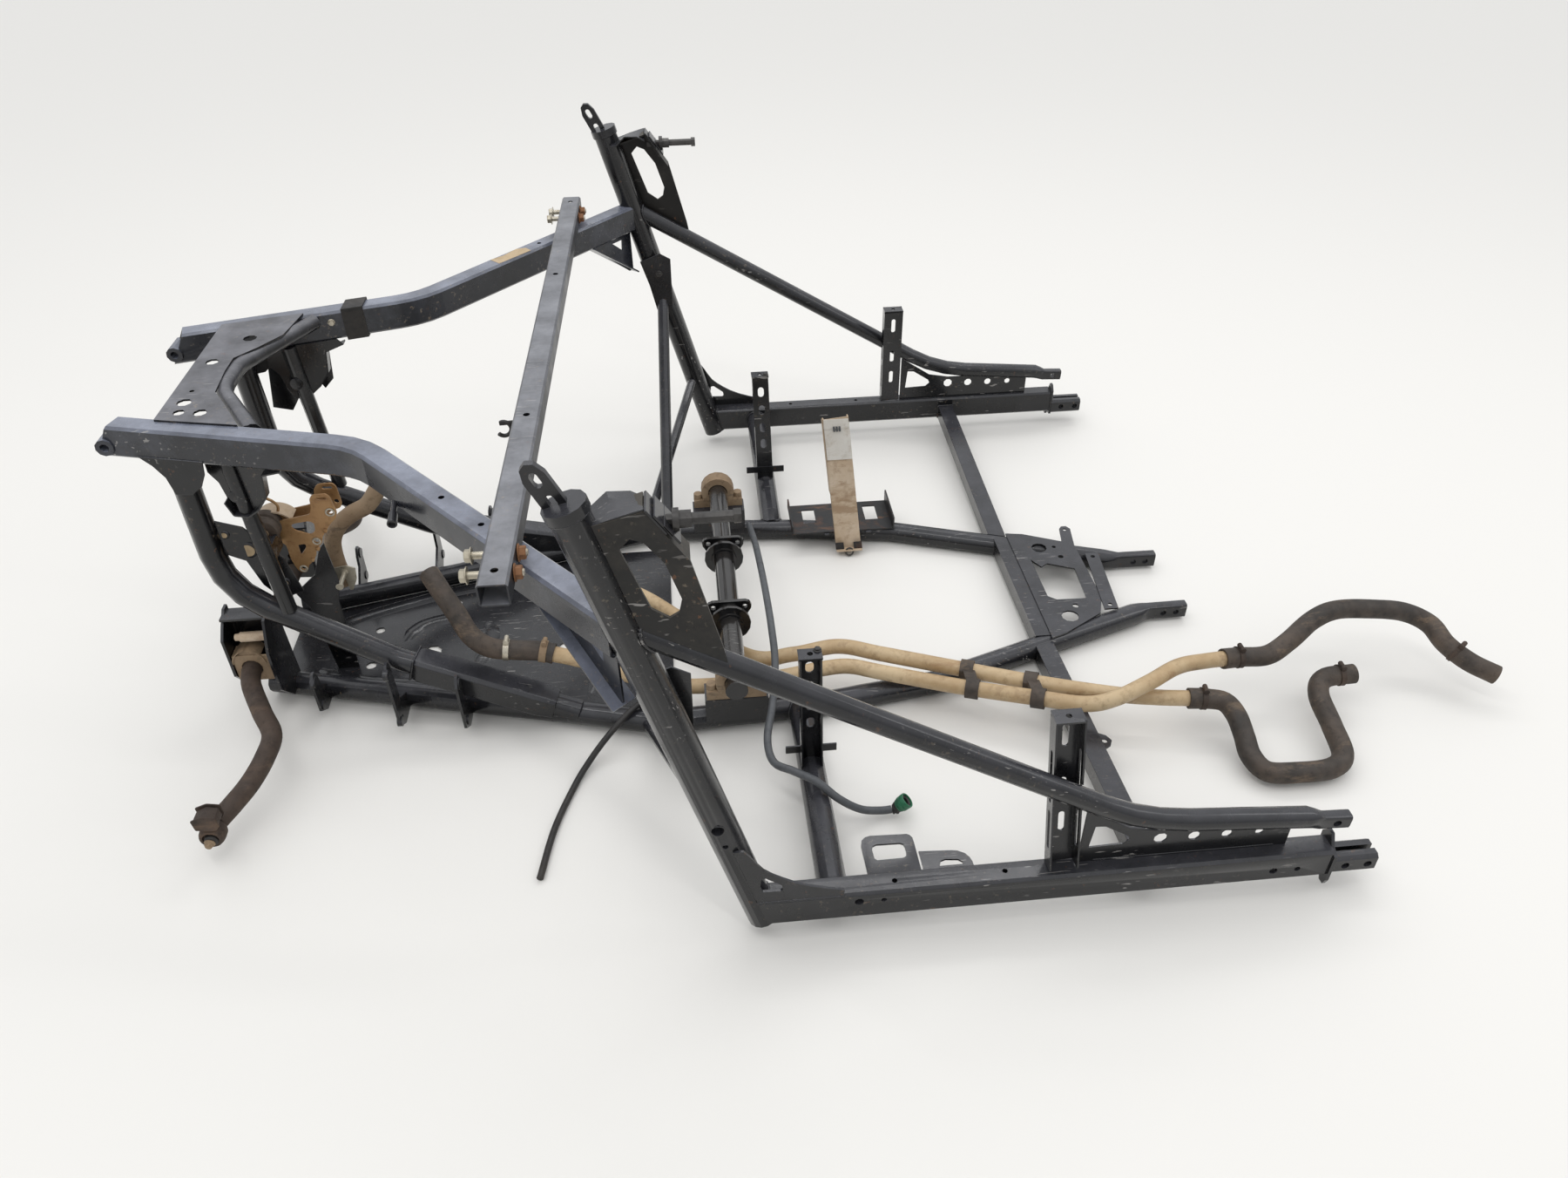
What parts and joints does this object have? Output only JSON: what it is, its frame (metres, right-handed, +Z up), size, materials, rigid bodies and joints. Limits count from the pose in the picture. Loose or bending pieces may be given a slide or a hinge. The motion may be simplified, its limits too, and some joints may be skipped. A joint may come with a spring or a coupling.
{
  "type": "off-road vehicle frame section",
  "caption": "Bare tubular steel cabin frame of a side-by-side off-road vehicle, with coolant pipes, formed hoses, a cross shaft and an anti-roll bar.",
  "frame": {"origin": "centre of the whole object's footprint, on the ground the skid plate and lower rails rest on", "axes": "+X towards the vehicle's front (the end with the loose formed hoses), +Y to the vehicle's left, +Z up"},
  "size_m": [2.1844, 1.434, 0.7652],
  "materials": {
    "black_frame": "satin black powder coat, dusty",
    "grey_bar": "worn blue-black coat with dust",
    "tan_pipe": "dirt film over dark pipe",
    "tan_casting": "rusty dusty casting",
    "zinc": "yellow zinc plate, dull",
    "rusty_steel": "brown rust and mud",
    "fastener_steel": "dull plated steel",
    "dirty_rubber": "matte, dusty",
    "line_rubber": "matte black line",
    "green_connector": "green moulding",
    "shaft_black": "black with bare patches"
  },
  "bodies": {
    "frame": {"bar_clamp_left": "rusty_steel", "bar_clamp_right": "rusty_steel", "battery_strap": "tan_casting", "battery_tray": "black_frame", "belt_bolt_left": "fastener_steel", "belt_bolt_right": "fastener_steel", "brace_post_left": "black_frame", "brace_post_right": "black_frame", "coolant_pipe_lower": "tan_pipe", "coolant_pipe_upper": "tan_pipe", "crossbar": "grey_bar", "crossbar_bolt_1": "fastener_steel", "crossbar_bolt_2": "fastener_steel", "crossbar_bolt_3": "fastener_steel", "crossbar_bolt_4": "fastener_steel", "diag_brace_left": "black_frame", "diag_brace_right": "black_frame", "down_tube_left": "black_frame", "down_tube_right": "black_frame", "front_cross_left": "black_frame", "front_cross_right": "black_frame", "front_gusset_left": "black_frame", "front_gusset_right": "black_frame", "front_plate": "black_frame", "fuel_hose": "line_rubber", "hose_front_lower": "dirty_rubber", "hose_front_upper": "dirty_rubber", "hose_rear": "dirty_rubber", "lower_rail_left": "black_frame", "lower_rail_right": "black_frame", "outrigger_left": "black_frame", "outrigger_right": "black_frame", "pillar_left": "black_frame", "pillar_right": "black_frame", "pillow_block_left": "tan_casting", "pillow_block_right": "tan_casting", "pipe_clip_front": "black_frame", "pipe_clip_rear": "black_frame", "quick_connector": "green_connector", "rear_gusset_plate": "black_frame", "rear_post_left": "black_frame", "rear_post_right": "black_frame", "seat_bracket_left": "black_frame", "seat_bracket_right": "black_frame", "shoulder_plate_left": "black_frame", "shoulder_plate_right": "black_frame", "side_tube_left": "black_frame", "side_tube_right": "black_frame", "sill_left": "black_frame", "sill_right": "black_frame", "skid_plate": "black_frame", "tall_bracket_left": "black_frame", "tall_bracket_right": "black_frame", "upper_rail_left": "black_frame", "upper_rail_right": "black_frame", "vent_hose": "line_rubber", "zinc_bracket": "zinc"},
    "shaft": {"cross_shaft": "shaft_black"},
    "bar": {"anti_roll_bar": "rusty_steel"},
    "link": {"end_link": "rusty_steel"}
  },
  "joints": [
    {"name": "cross_shaft_spin", "type": "hinge", "parent": "frame", "child": "shaft", "pos_m": [-0.19792, 0, 0.112], "axis": [0, 1, 0], "continuous": true},
    {"name": "anti_roll_bar_twist", "type": "hinge", "parent": "frame", "child": "bar", "pos_m": [-0.99792, 0, 0.102], "axis": [0, 1, 0], "range_deg": [-20, 20]},
    {"name": "end_link_swing", "type": "hinge", "parent": "bar", "child": "link", "pos_m": [-0.98692, -0.4715, 0.048], "axis": [0, 1, 0], "range_deg": [-30, 30]}
  ]
}
